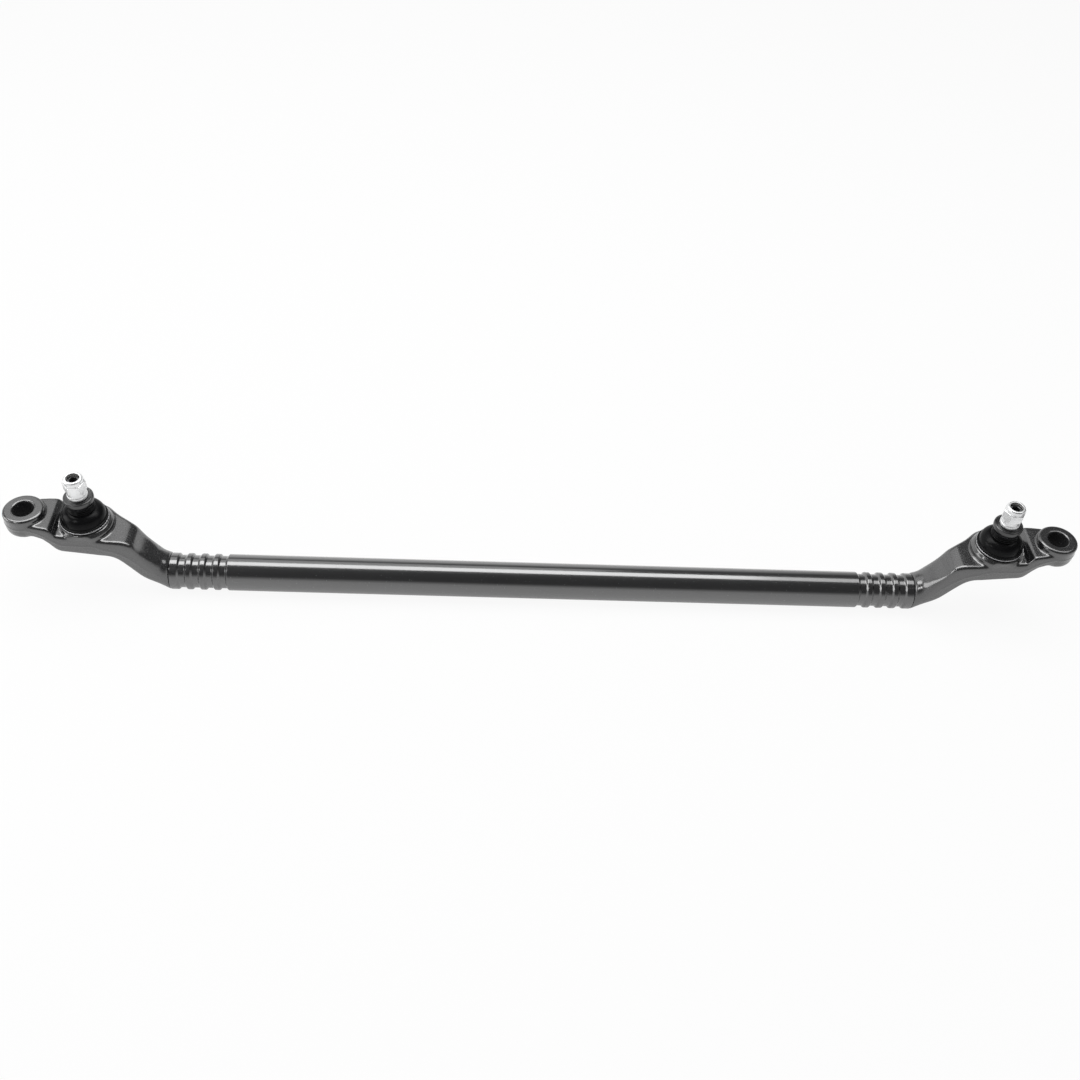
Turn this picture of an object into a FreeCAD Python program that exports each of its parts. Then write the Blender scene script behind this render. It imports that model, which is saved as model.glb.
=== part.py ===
import FreeCAD, Part
import math
import os

# Steering center link: a steel tube with a forged arm crimped into each end.
# Each arm carries a ball joint with its stud up and ends in an eye for a tie rod stud.
# Frame: origin at the middle of the tube on its axis, +X along the tube to the right arm,
# +Y to the rear, +Z up along the studs. Millimetres and degrees.

os.makedirs("parts", exist_ok=True)
V = FreeCAD.Vector

# Tube and crimp
TUBE_R = 13.6
TUBE_WALL = 2.8
TUBE_HALF = 278.7
CRIMP_COUNT = 4
CRIMP_FIRST = 9.0
CRIMP_PITCH = 10.0
CRIMP_WIDTH = 7.0
CRIMP_DEPTH = 1.4
SHANK_LENGTH = 56.0
SHANK_GAP = 0.05
SHANK_CHAMFER = 1.5

# Places along X: the socket beyond the tube's end, the rest beyond the socket
SOCKET_OUT = 54.5
STEP_OUT = 15.8
WEB_OUT = 32.8
EYE_OUT = 40.8
SOCKET_X = TUBE_HALF + SOCKET_OUT
STEP_X = SOCKET_X + STEP_OUT
WEB_X = SOCKET_X + WEB_OUT
EYE_X = SOCKET_X + EYE_OUT

# Eye for the tie rod stud
EYE_Y = 1.6
EYE_R = 14.4
EYE_TOP = 60.1
EYE_BOTTOM = 43.7
EYE_BORE_TOP_R = 7.4
EYE_TAPER = 1.0 / 8.0
EYE_CHAMFER = 0.4
EYE_EDGE = 1.2
EYE_TUCK = 0.3

# Web between the eye and the platform
WEB_TOP = 55.6
WEB_BOTTOM = 45.7
WEB_EDGE = 1.8
# Each station gives the share of the run from the platform to the web and the share of the rise
# of the top and of the underside
STEP_STATIONS = [
    (0.12, 0.05, 0.06),
    (0.22, 0.39, 0.15),
    (0.33, 0.70, 0.33),
    (0.43, 0.80, 0.51),
    (0.67, 0.90, 0.84),
    (1.0, 1.0, 1.0),
]

# Platform that holds the housing
SOCKET_Y = 3.4
PLATFORM_R = 23.0
PLATFORM_FRONT = 14.6
PLATFORM_TOP = 45.4
PLATFORM_THICK = 15.2
PLATFORM_SLOPE = 0.13
PLATFORM_EDGE = 2.6
PLATFORM_SECTIONS = 6

# Bend from the platform down to the tube: each station gives the share of the run from the tube's end,
# the share of the rise of the top and of the underside, and the share of the round corner that is left
BEND_END = 17.2
BEND_WAIST = 9.7
BEND_STATIONS = [
    (0.0, 0.0, 0.0, 1.0),
    (0.115, 0.117, 0.104, 0.88),
    (0.222, 0.258, 0.216, 0.64),
    (0.357, 0.443, 0.350, 0.28),
    (0.477, 0.661, 0.459, 0.13),
    (0.563, 0.836, 0.560, 0.08),
    (0.651, 0.916, 0.675, 0.05),
    (0.732, 0.956, 0.780, 0.03),
    (0.839, 0.980, 0.905, 0.02),
    (1.0, 1.0, 1.0, 0.0),
]
DRAFT = 0.07

# Housing of the ball joint
COLLAR_BASE_R = 19.2
COLLAR_BASE_RISE = 2.0
COLLAR_R = 17.8
COLLAR_TOP = 49.2
NECK_R = 14.6
NECK_RISE = 3.2
BOSS_R = 13.5
HOUSING_EDGE = 0.7
ROLLED_EDGE = 0.7
ROLLED_HIGH = 0.4

# Ball joint
BALL_R = 9.75
BALL_Z = 40.8
TILT_MAX = 20.0
SEAT_WALL = 1.85
SEAT_FLOOR = 1.4
SEAT_SPLIT = 0.3
SEAT_LIP_RISE = 5.2
SEAT_HOLE_R = 2.0
RUN_GAP = 0.05
MOUTH_GAP = 0.45
LIP_THICK = 1.2
SPRING_R = 10.2
SPRING_HOLE_R = 4.0
SPRING_SHEET = 0.9
SPRING_RISE = 0.5
COVER_SHEET = 1.5
COVER_DISH_R = 6.0
COVER_DISH = 0.5

# Stud
STUD_NECK_R = 5.8
TAPER_R = 7.5
TAPER_BOTTOM = 58.5
TAPER_FLARE = 1.5
TAPER_RATE = 1.0 / 8.0
THREAD_R = 5.0
THREAD_START_GAP = 0.2
STUD_END_DEPTH = 1.9
STUD_CHAMFER = 0.9
KEY_AF = 5.0
KEY_DEPTH = 5.0

# Boot and its rings
BOOT_LIP_R = 16.7
BOOT_LIP_HIGH = 3.4
BOOT_LIP_EDGE = 0.4
BOOT_WALL = 1.5
BOOT_SEAT_GAP = 0.05
BOOT_SHOULDER_R = 15.4
BOOT_BELL_HIGH = 8.4
BOOT_BELL_FLAT = 1.6
BOOT_RIB_R = 10.0
BOOT_RIB_GROOVE = 0.7
BOOT_RIB_COUNT = 3
BOOT_RIB_PITCH = 1.75
CLAMP_WIRE_R = 0.6
GARTER_WIRE_R = 0.65
SEAL_R = 10.5
SEAL_HIGH = 5.0
SEAL_EDGE = 0.9
SEAL_GAP = 0.1

# Lock nut
NUT_AF = 14.0
NUT_SEAL_GAP = 0.3
NUT_FACE_R = 7.2
NUT_FACE_HIGH = 2.8
NUT_FACE_EDGE = 0.8
NUT_NECK_R = 6.6
NUT_NECK_HIGH = 3.6
NUT_HEX_HIGH = 7.3
NUT_CHAMFER_ANGLE = 30.0
NUT_CROWN_HIGH = 3.6
NUT_CROWN_WALL = 0.9
NUT_CROWN_EDGE = 1.4
NUT_MOUTH_R = 4.7
NUT_GAP = 0.05
INSERT_WALL = 0.75
INSERT_HIGH = 2.6
INSERT_SEAT = 0.1
LEFT_NUT_TURN = 8.0
RIGHT_NUT_TURN = -1.0


def point(pair):
    return V(pair[0], 0, pair[1])


def line(start, end):
    return Part.LineSegment(start, end).toShape()


def arc(start, middle, end):
    return Part.Arc(start, middle, end).toShape()


def spun(outline):
    """Solid of revolution about Z from (radius, height) corners."""
    points = [point(p) for p in outline]
    wire = Part.makePolygon(points + [points[0]])
    return Part.Face(wire).revolve(V(0, 0, 0), V(0, 0, 1), 360)


def disc(radius, bottom, top):
    return Part.makeCylinder(radius, top - bottom, V(0, 0, bottom))


def cone(bottom_r, top_r, bottom, top):
    return Part.makeCone(bottom_r, top_r, top - bottom, V(0, 0, bottom))


def ring(radius, wire_r, height):
    return Part.makeTorus(radius, wire_r, V(0, 0, height))


def crimp_centres():
    return [TUBE_HALF - CRIMP_FIRST - CRIMP_PITCH * i for i in range(CRIMP_COUNT)]


def crimped_edges(radius, start, end, side):
    """Edges along X at the given radius, with an arc pressed in at each crimp of one end."""
    edges = []
    at = start
    for centre in sorted(side * c for c in crimp_centres()):
        left = V(centre - CRIMP_WIDTH / 2, 0, radius)
        low = V(centre, 0, radius - CRIMP_DEPTH)
        right = V(centre + CRIMP_WIDTH / 2, 0, radius)
        edges.append(line(V(at, 0, radius), left))
        edges.append(arc(left, low, right))
        at = centre + CRIMP_WIDTH / 2
    edges.append(line(V(at, 0, radius), V(end, 0, radius)))
    return edges


def tube():
    """Outer and inner outlines share the crimps, so the wall keeps its thickness."""
    inner_r = TUBE_R - TUBE_WALL
    outer = crimped_edges(TUBE_R, -TUBE_HALF, 0, -1) + crimped_edges(TUBE_R, 0, TUBE_HALF, 1)
    inner = crimped_edges(inner_r, -TUBE_HALF, 0, -1) + crimped_edges(inner_r, 0, TUBE_HALF, 1)
    ends = [line(V(x, 0, inner_r), V(x, 0, TUBE_R)) for x in (-TUBE_HALF, TUBE_HALF)]
    outline = Part.Wire(Part.__sortEdges__(outer + inner + ends))
    return Part.Face(outline).revolve(V(0, 0, 0), V(1, 0, 0), 360)


def shank():
    """Part of the forging inside the tube, grooved where the tube is crimped on it."""
    radius = TUBE_R - TUBE_WALL - SHANK_GAP
    start = TUBE_HALF - SHANK_LENGTH
    nose = V(start, 0, radius - SHANK_CHAMFER)
    edges = [line(V(start, 0, 0), nose), line(nose, V(start + SHANK_CHAMFER, 0, radius))]
    edges += crimped_edges(radius, start + SHANK_CHAMFER, TUBE_HALF, 1)
    edges.append(line(V(TUBE_HALF, 0, radius), V(TUBE_HALF, 0, 0)))
    edges.append(line(V(TUBE_HALF, 0, 0), V(start, 0, 0)))
    return Part.Face(Part.Wire(edges)).revolve(V(0, 0, 0), V(1, 0, 0), 360)


def platform_top(x):
    return PLATFORM_TOP + PLATFORM_SLOPE * (x - SOCKET_X)


def platform_bottom(x):
    return platform_top(x) - PLATFORM_THICK


def rear_edge(x):
    """Rear edge of the platform in plan: an arc round the housing, then a line to the eye."""
    if x <= SOCKET_X:
        return SOCKET_Y + math.sqrt(PLATFORM_R ** 2 - (x - SOCKET_X) ** 2)
    fall = (SOCKET_Y + PLATFORM_R - EYE_Y - EYE_R) / (EYE_X - SOCKET_X)
    return SOCKET_Y + PLATFORM_R - fall * (x - SOCKET_X)


def rounded(points, radii):
    """Closed wire of lines with an arc of the given radius at each corner that has one."""
    arcs = []
    count = len(points)
    for i in range(count):
        corner = points[i]
        to_last = (points[i - 1] - corner).normalize()
        to_next = (points[(i + 1) % count] - corner).normalize()
        half = to_last.getAngle(to_next) / 2
        if radii[i] == 0:
            arcs.append((corner, None, corner))
            continue
        reach = radii[i] / math.tan(half)
        inward = (to_last + to_next).normalize()
        crown = corner + inward * (radii[i] / math.sin(half) - radii[i])
        arcs.append((corner + to_last * reach, crown, corner + to_next * reach))
    edges = []
    for i in range(count):
        start, crown, end = arcs[i]
        if crown is not None:
            edges.append(arc(start, crown, end))
        edges.append(line(end, arcs[(i + 1) % count][0]))
    return Part.Wire(edges)


def section_at(x, front, rear, top, bottom, corner_r, square):
    """Closed section of the arm: flat top and underside, sides that lean out to a parting line."""
    middle = (top + bottom) / 2
    lean = DRAFT * square * (top - bottom) / 2
    points = [
        V(x, front + lean, top),
        V(x, rear - lean, top),
        V(x, rear, middle),
        V(x, rear - lean, bottom),
        V(x, front + lean, bottom),
        V(x, front, middle),
    ]
    return rounded(points, [corner_r, corner_r, 0, corner_r, corner_r, 0])


def bend_sections():
    """Sections from the round tube end up to the platform."""
    end_x = SOCKET_X - BEND_END
    end_top = platform_top(end_x)
    end_bottom = platform_bottom(end_x)
    round_corner = TUBE_R - 0.1
    sections = []
    for run, top_share, low_share, corner_share in BEND_STATIONS:
        top = TUBE_R + top_share * (end_top - TUBE_R)
        bottom = -TUBE_R + low_share * (end_bottom + TUBE_R)
        front = -TUBE_R - run * (PLATFORM_FRONT - TUBE_R)
        waist = (TUBE_R - BEND_WAIST) * math.sin(math.pi * run)
        rear = TUBE_R + (rear_edge(end_x) - TUBE_R) * run ** 3 - waist
        corner_r = PLATFORM_EDGE + corner_share * (round_corner - PLATFORM_EDGE)
        x = TUBE_HALF + run * (end_x - TUBE_HALF)
        sections.append(section_at(x, front, rear, top, bottom, corner_r, 1 - corner_share))
    return sections


def platform_sections():
    """Sections along the platform, each as wide as the plan outline there."""
    start_x = SOCKET_X - BEND_END
    sections = []
    for i in range(1, PLATFORM_SECTIONS + 1):
        x = start_x + i * (STEP_X - start_x) / PLATFORM_SECTIONS
        top = platform_top(x)
        bottom = platform_bottom(x)
        sections.append(section_at(x, -PLATFORM_FRONT, rear_edge(x), top, bottom, PLATFORM_EDGE, 1.0))
    return sections


def web_sections():
    """Sections up the step and along the web to the middle of the eye."""
    low_top = platform_top(STEP_X)
    low_bottom = platform_bottom(STEP_X)
    eye_front = EYE_Y - EYE_R + EYE_TUCK
    spots = [(STEP_X + run * (WEB_X - STEP_X), high, low) for run, high, low in STEP_STATIONS]
    spots.append((EYE_X, 1.0, 1.0))
    sections = []
    for x, top_share, low_share in spots:
        along = (x - STEP_X) / (EYE_X - STEP_X)
        front = -PLATFORM_FRONT + along * (eye_front + PLATFORM_FRONT)
        rear = rear_edge(x) - along * EYE_TUCK
        top = low_top + top_share * (WEB_TOP - low_top)
        bottom = low_bottom + low_share * (WEB_BOTTOM - low_bottom)
        corner_r = PLATFORM_EDGE + along * (WEB_EDGE - PLATFORM_EDGE)
        sections.append(section_at(x, front, rear, top, bottom, corner_r, 1.0))
    return sections


def arm():
    """Smooth loft up the bend and along the platform, then a ruled one up the step to the eye."""
    flat = platform_sections()
    curved = Part.makeLoft(bend_sections() + flat, True, False)
    stepped = Part.makeLoft([flat[-1]] + web_sections(), True, True)
    return curved.fuse(stepped)


def eye_boss():
    boss = spun([
        (0, EYE_BOTTOM),
        (EYE_R - 2 * EYE_EDGE, EYE_BOTTOM),
        (EYE_R - EYE_EDGE / 2, EYE_BOTTOM + EYE_EDGE),
        (EYE_R, EYE_BOTTOM + 3 * EYE_EDGE),
        (EYE_R, EYE_TOP - EYE_EDGE),
        (EYE_R - EYE_EDGE, EYE_TOP),
        (0, EYE_TOP),
    ])
    boss.translate(V(EYE_X, EYE_Y, 0))
    return boss


def eye_bore():
    """Tapered hole, wide at the top, with a chamfer at each mouth."""
    low_r = EYE_BORE_TOP_R - EYE_TAPER * (EYE_TOP - EYE_BOTTOM) / 2
    outline = [
        (0, EYE_BOTTOM - 1),
        (low_r + EYE_CHAMFER + 1, EYE_BOTTOM - 1),
        (low_r, EYE_BOTTOM + EYE_CHAMFER),
        (EYE_BORE_TOP_R, EYE_TOP - EYE_CHAMFER),
        (EYE_BORE_TOP_R + EYE_CHAMFER + 1, EYE_TOP + 1),
        (0, EYE_TOP + 1),
    ]
    bore = spun(outline)
    bore.translate(V(EYE_X, EYE_Y, 0))
    return bore


def seat_r():
    return BALL_R + SEAT_WALL


def tilt_reach(rise, shaft_r):
    """Radius that a shaft through the ball sweeps at a height above the ball's centre."""
    tilt = math.radians(TILT_MAX)
    return rise * math.tan(tilt) + shaft_r / math.cos(tilt)


def seat_floor_z():
    return BALL_Z - BALL_R - SEAT_FLOOR


def cover_top_z():
    return seat_floor_z() - SPRING_SHEET - SPRING_RISE - RUN_GAP


def boss_bottom_z():
    return cover_top_z() - COVER_SHEET - ROLLED_HIGH


def neck_top_z():
    return COLLAR_TOP + NECK_RISE


def housing_body():
    """Raised collar round the mouth, the neck that the boot grips, and the boss below."""
    base_top = platform_top(SOCKET_X) + COLLAR_BASE_RISE
    boss = spun([
        (0, boss_bottom_z()),
        (BOSS_R - HOUSING_EDGE, boss_bottom_z()),
        (BOSS_R, boss_bottom_z() + HOUSING_EDGE),
        (BOSS_R, BALL_Z),
        (0, BALL_Z),
    ])
    collar = spun([
        (0, BALL_Z),
        (COLLAR_BASE_R, BALL_Z),
        (COLLAR_BASE_R, base_top - HOUSING_EDGE),
        (COLLAR_BASE_R - HOUSING_EDGE, base_top),
        (COLLAR_R, base_top),
        (COLLAR_R, COLLAR_TOP - HOUSING_EDGE),
        (COLLAR_R - HOUSING_EDGE, COLLAR_TOP),
        (NECK_R, COLLAR_TOP),
        (NECK_R, neck_top_z() - HOUSING_EDGE),
        (NECK_R - HOUSING_EDGE, neck_top_z()),
        (0, neck_top_z()),
    ])
    front_face = -PLATFORM_FRONT + DRAFT * PLATFORM_THICK / 2 - SOCKET_Y
    in_front = Part.makeBox(2 * PLATFORM_R, PLATFORM_R, base_top)
    in_front.translate(V(-PLATFORM_R, front_face - PLATFORM_R, 0))
    return boss.fuse(collar.cut(in_front))


def housing_bore():
    """Bore for the seats, narrowed to a lip above them, and open to the tilting stud."""
    bore_r = seat_r() + RUN_GAP
    seat_top = BALL_Z + SEAT_LIP_RISE + RUN_GAP
    lip_top = seat_top + LIP_THICK
    lip_r = tilt_reach(lip_top - BALL_Z, STUD_NECK_R) + MOUTH_GAP
    mouth_r = tilt_reach(neck_top_z() - BALL_Z, STUD_NECK_R) + MOUTH_GAP
    cover_z = cover_top_z() - COVER_SHEET
    return spun([
        (0, boss_bottom_z() - 1),
        (seat_r() - ROLLED_EDGE, boss_bottom_z() - 1),
        (seat_r() - ROLLED_EDGE, cover_z),
        (bore_r, cover_z),
        (bore_r, seat_top),
        (lip_r, seat_top + LIP_THICK / 2),
        (lip_r, lip_top),
        (mouth_r, neck_top_z()),
        (mouth_r, neck_top_z() + 1),
        (0, neck_top_z() + 1),
    ])


def at_socket(shape):
    shape.translate(V(SOCKET_X, SOCKET_Y, 0))
    return shape


def forged_end():
    solid = arm().fuse([shank(), eye_boss(), at_socket(housing_body())])
    solid = solid.cut([eye_bore(), at_socket(housing_bore())])
    return solid.removeSplitter()


def upper_seat():
    bottom = BALL_Z + SEAT_SPLIT / 2
    top = BALL_Z + SEAT_LIP_RISE
    return disc(seat_r(), bottom, top).cut(Part.makeSphere(BALL_R + RUN_GAP, V(0, 0, BALL_Z)))


def lower_seat():
    top = BALL_Z - SEAT_SPLIT / 2
    body = disc(seat_r(), seat_floor_z(), top)
    body = body.cut(Part.makeSphere(BALL_R + RUN_GAP, V(0, 0, BALL_Z)))
    return body.cut(disc(SEAT_HOLE_R, seat_floor_z() - 1, BALL_Z))


def pressure_spring():
    """Coned disc spring: its outer rim bears on the cover and its inner rim on the seat."""
    low = cover_top_z()
    return spun([
        (SPRING_R, low),
        (SPRING_R, low + SPRING_SHEET),
        (SPRING_HOLE_R, low + SPRING_SHEET + SPRING_RISE),
        (SPRING_HOLE_R, low + SPRING_RISE),
    ])


def socket_cover():
    top = cover_top_z()
    bottom = top - COVER_SHEET
    edge_r = seat_r() - RUN_GAP
    return spun([
        (0, bottom + COVER_DISH),
        (COVER_DISH_R - 2 * COVER_DISH, bottom + COVER_DISH),
        (COVER_DISH_R, bottom),
        (edge_r, bottom),
        (edge_r, top),
        (0, top),
    ])


def taper_r_at(height):
    return TAPER_R - (height - TAPER_BOTTOM) * TAPER_RATE / 2


def boot_lip_z():
    return COLLAR_TOP + BOOT_SEAT_GAP


def boot_throat_z():
    return boot_lip_z() + BOOT_LIP_HIGH + BOOT_BELL_HIGH


def boot_end_z():
    return boot_throat_z() + BOOT_RIB_COUNT * BOOT_RIB_PITCH


def garter_z():
    return boot_end_z() + BOOT_SEAT_GAP + GARTER_WIRE_R


def seal_bottom_z():
    return garter_z() + GARTER_WIRE_R + SEAL_GAP


def seal_top_z():
    return seal_bottom_z() + SEAL_HIGH


def nut_bottom_z():
    return seal_top_z() + NUT_SEAL_GAP


def hex_bottom_z():
    return nut_bottom_z() + NUT_FACE_HIGH + NUT_NECK_HIGH


def hex_top_z():
    return hex_bottom_z() + NUT_HEX_HIGH


def crown_top_z():
    return hex_top_z() + NUT_CROWN_HIGH


def insert_bottom_z():
    return crown_top_z() - NUT_CROWN_WALL - INSERT_HIGH


def hexagon(across_flats, bottom, top):
    corner = across_flats / math.sqrt(3)
    points = []
    for i in range(7):
        angle = math.radians(60 * i)
        points.append(V(corner * math.cos(angle), corner * math.sin(angle), bottom))
    return Part.Face(Part.makePolygon(points)).extrude(V(0, 0, top - bottom))


def ball_stud():
    """Ball, neck, locking taper and thread, with a key recess in the end."""
    taper_top = nut_bottom_z() - THREAD_START_GAP
    end = crown_top_z() - STUD_END_DEPTH
    shaft = spun([
        (0, BALL_Z),
        (STUD_NECK_R, BALL_Z),
        (STUD_NECK_R, TAPER_BOTTOM - TAPER_FLARE),
        (TAPER_R, TAPER_BOTTOM),
        (taper_r_at(taper_top), taper_top),
        (THREAD_R, taper_top),
        (THREAD_R, end - STUD_CHAMFER),
        (THREAD_R - STUD_CHAMFER, end),
        (0, end),
    ])
    stud = shaft.fuse(Part.makeSphere(BALL_R, V(0, 0, BALL_Z)))
    key = hexagon(KEY_AF, end - KEY_DEPTH, end + 1)
    return stud.cut(key).removeSplitter()


def bell_arc(radius, low, throat_r, throat_z):
    """Arc that leaves the bell's side upright and curls in to the throat."""
    drop = radius - throat_r
    rise = throat_z - low
    middle = V(radius - 0.29 * drop, 0, low + 0.74 * rise)
    return arc(V(radius, 0, low), middle, V(throat_r, 0, throat_z))


def dust_boot():
    """Wall of the bell: lip on the housing's neck, upright side, shoulder and ribbed throat."""
    lip_z = boot_lip_z()
    lip_top = lip_z + BOOT_LIP_HIGH
    lip_in = NECK_R + BOOT_SEAT_GAP
    throat_z = boot_throat_z()
    throat_r = BOOT_RIB_R - BOOT_RIB_GROOVE
    groove_z = lip_z + BOOT_LIP_HIGH / 2
    bell_z = lip_top + BOOT_BELL_FLAT
    inner_bell_z = bell_z - 0.4
    inner_throat_z = throat_z - BOOT_WALL / 2
    lip = [
        V(lip_in, 0, lip_z),
        V(BOOT_LIP_R, 0, lip_z),
        V(BOOT_LIP_R, 0, groove_z - CLAMP_WIRE_R),
    ]
    side = [
        V(BOOT_LIP_R, 0, groove_z + CLAMP_WIRE_R),
        V(BOOT_LIP_R, 0, lip_top - BOOT_LIP_EDGE),
        V(BOOT_LIP_R - BOOT_LIP_EDGE, 0, lip_top),
        V(BOOT_SHOULDER_R, 0, lip_top),
        V(BOOT_SHOULDER_R, 0, bell_z),
    ]
    inside = [
        V(BOOT_SHOULDER_R - BOOT_WALL, 0, inner_bell_z),
        V(BOOT_SHOULDER_R - BOOT_WALL, 0, neck_top_z() + 0.5),
        V(lip_in, 0, neck_top_z() + 0.2),
        V(lip_in, 0, lip_z),
    ]
    edges = [line(a, b) for a, b in zip(lip, lip[1:])]
    edges.append(arc(lip[-1], V(BOOT_LIP_R - CLAMP_WIRE_R, 0, groove_z), side[0]))
    edges += [line(a, b) for a, b in zip(side, side[1:])]
    edges.append(bell_arc(BOOT_SHOULDER_R, bell_z, throat_r, throat_z))
    for i in range(BOOT_RIB_COUNT):
        low = throat_z + i * BOOT_RIB_PITCH
        crest = V(BOOT_RIB_R, 0, low + BOOT_RIB_PITCH / 2)
        edges.append(arc(V(throat_r, 0, low), crest, V(throat_r, 0, low + BOOT_RIB_PITCH)))
    throat_in = throat_r - BOOT_WALL / 2
    edges.append(line(V(throat_r, 0, boot_end_z()), V(throat_in, 0, boot_end_z())))
    edges.append(line(V(throat_in, 0, boot_end_z()), V(throat_in, 0, inner_throat_z)))
    edges.append(bell_arc(BOOT_SHOULDER_R - BOOT_WALL, inner_bell_z, throat_in, inner_throat_z))
    edges += [line(a, b) for a, b in zip(inside, inside[1:])]
    return Part.Face(Part.Wire(Part.__sortEdges__(edges))).revolve(V(0, 0, 0), V(0, 0, 1), 360)


def boot_clamp_ring():
    return ring(BOOT_LIP_R + BOOT_SEAT_GAP, CLAMP_WIRE_R, boot_lip_z() + BOOT_LIP_HIGH / 2)


def boot_garter_spring():
    return ring(BOOT_RIB_R - BOOT_RIB_GROOVE, GARTER_WIRE_R, garter_z())


def boot_collar():
    """Thick ring round the taper, under the nut's washer face."""
    low = seal_bottom_z()
    high = seal_top_z()
    return spun([
        (taper_r_at(low) + RUN_GAP, low),
        (SEAL_R - SEAL_EDGE / 2, low),
        (SEAL_R, low + SEAL_EDGE / 2),
        (SEAL_R, high - SEAL_EDGE),
        (SEAL_R - SEAL_EDGE, high),
        (taper_r_at(high) + RUN_GAP, high),
    ])


def insert_r():
    return THREAD_R + NUT_GAP + INSERT_WALL


def pocket_r():
    return insert_r() + INSERT_SEAT


def crown_r():
    return pocket_r() + NUT_CROWN_WALL


def lock_nut():
    """Round foot and neck, a hexagon chamfered at both ends, and a crown rolled in over the insert."""
    foot = nut_bottom_z()
    foot_top = foot + NUT_FACE_HIGH
    low = hex_bottom_z()
    high = hex_top_z()
    top = crown_top_z()
    wide_r = crown_r() + NUT_HEX_HIGH / math.tan(math.radians(NUT_CHAMFER_ANGLE))
    hexed = hexagon(NUT_AF, low, high)
    hexed = hexed.common(cone(wide_r, crown_r(), low, high))
    hexed = hexed.common(cone(crown_r(), wide_r, low, high))
    base = spun([
        (0, foot),
        (NUT_FACE_R - NUT_FACE_EDGE / 2, foot),
        (NUT_FACE_R, foot + NUT_FACE_EDGE / 2),
        (NUT_FACE_R, foot_top - NUT_FACE_EDGE),
        (NUT_NECK_R, foot_top),
        (NUT_NECK_R, low + NUT_CROWN_WALL),
        (0, low + NUT_CROWN_WALL),
    ])
    crown = spun([
        (0, high - NUT_CROWN_WALL),
        (crown_r(), high - NUT_CROWN_WALL),
        (crown_r(), top - NUT_CROWN_EDGE),
        (crown_r() - 0.45 * NUT_CROWN_EDGE, top - 0.35 * NUT_CROWN_EDGE),
        (crown_r() - NUT_CROWN_EDGE, top),
        (0, top),
    ])
    pocket = disc(pocket_r(), insert_bottom_z(), top - NUT_CROWN_WALL)
    hole = disc(THREAD_R + NUT_GAP, nut_bottom_z() - 1, top - NUT_CROWN_WALL)
    mouth = disc(NUT_MOUTH_R, high, top + 1)
    return hexed.fuse([base, crown]).cut([pocket, hole, mouth]).removeSplitter()


def nut_insert():
    low = insert_bottom_z()
    hole = disc(THREAD_R + NUT_GAP, low - 1, low + INSERT_HIGH + 1)
    return disc(insert_r(), low, low + INSERT_HIGH).cut(hole)


def mirrored(shape):
    return shape.mirror(V(0, 0, 0), V(1, 0, 0))


ROUND_PIECES = {
    "socket_cover": socket_cover,
    "pressure_spring": pressure_spring,
    "lower_seat": lower_seat,
    "upper_seat": upper_seat,
    "ball_stud": ball_stud,
    "dust_boot": dust_boot,
    "boot_clamp_ring": boot_clamp_ring,
    "boot_garter_spring": boot_garter_spring,
    "boot_collar": boot_collar,
    "lock_nut": lock_nut,
    "nut_insert": nut_insert,
}


def right_round_pieces(nut_turn):
    """Round pieces at the right socket, with the nut turned about its stud."""
    pieces = {}
    for name, make in ROUND_PIECES.items():
        piece = make()
        if name == "lock_nut":
            piece.rotate(V(0, 0, 0), V(0, 0, 1), nut_turn)
        pieces[name] = at_socket(piece)
    return pieces


def build():
    nodes = {"centre_tube": tube(), "right_forged_end": forged_end()}
    nodes["left_forged_end"] = mirrored(nodes["right_forged_end"])
    for name, piece in right_round_pieces(RIGHT_NUT_TURN).items():
        nodes["right_" + name] = piece
    for name, piece in right_round_pieces(-LEFT_NUT_TURN).items():
        nodes["left_" + name] = mirrored(piece)
    return nodes


for node_name, node_shape in build().items():
    node_shape.exportStep("parts/" + node_name + ".step")
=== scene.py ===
"""Steering center link: a painted tube with a forged arm crimped into each end.

Each arm carries a ball joint under a rubber boot and ends in an eye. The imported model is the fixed
frame; the pieces here stand for its nodes and ride on its bodies. Lengths in the settings are metres.
"""
import math
from typing import NamedTuple

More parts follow.
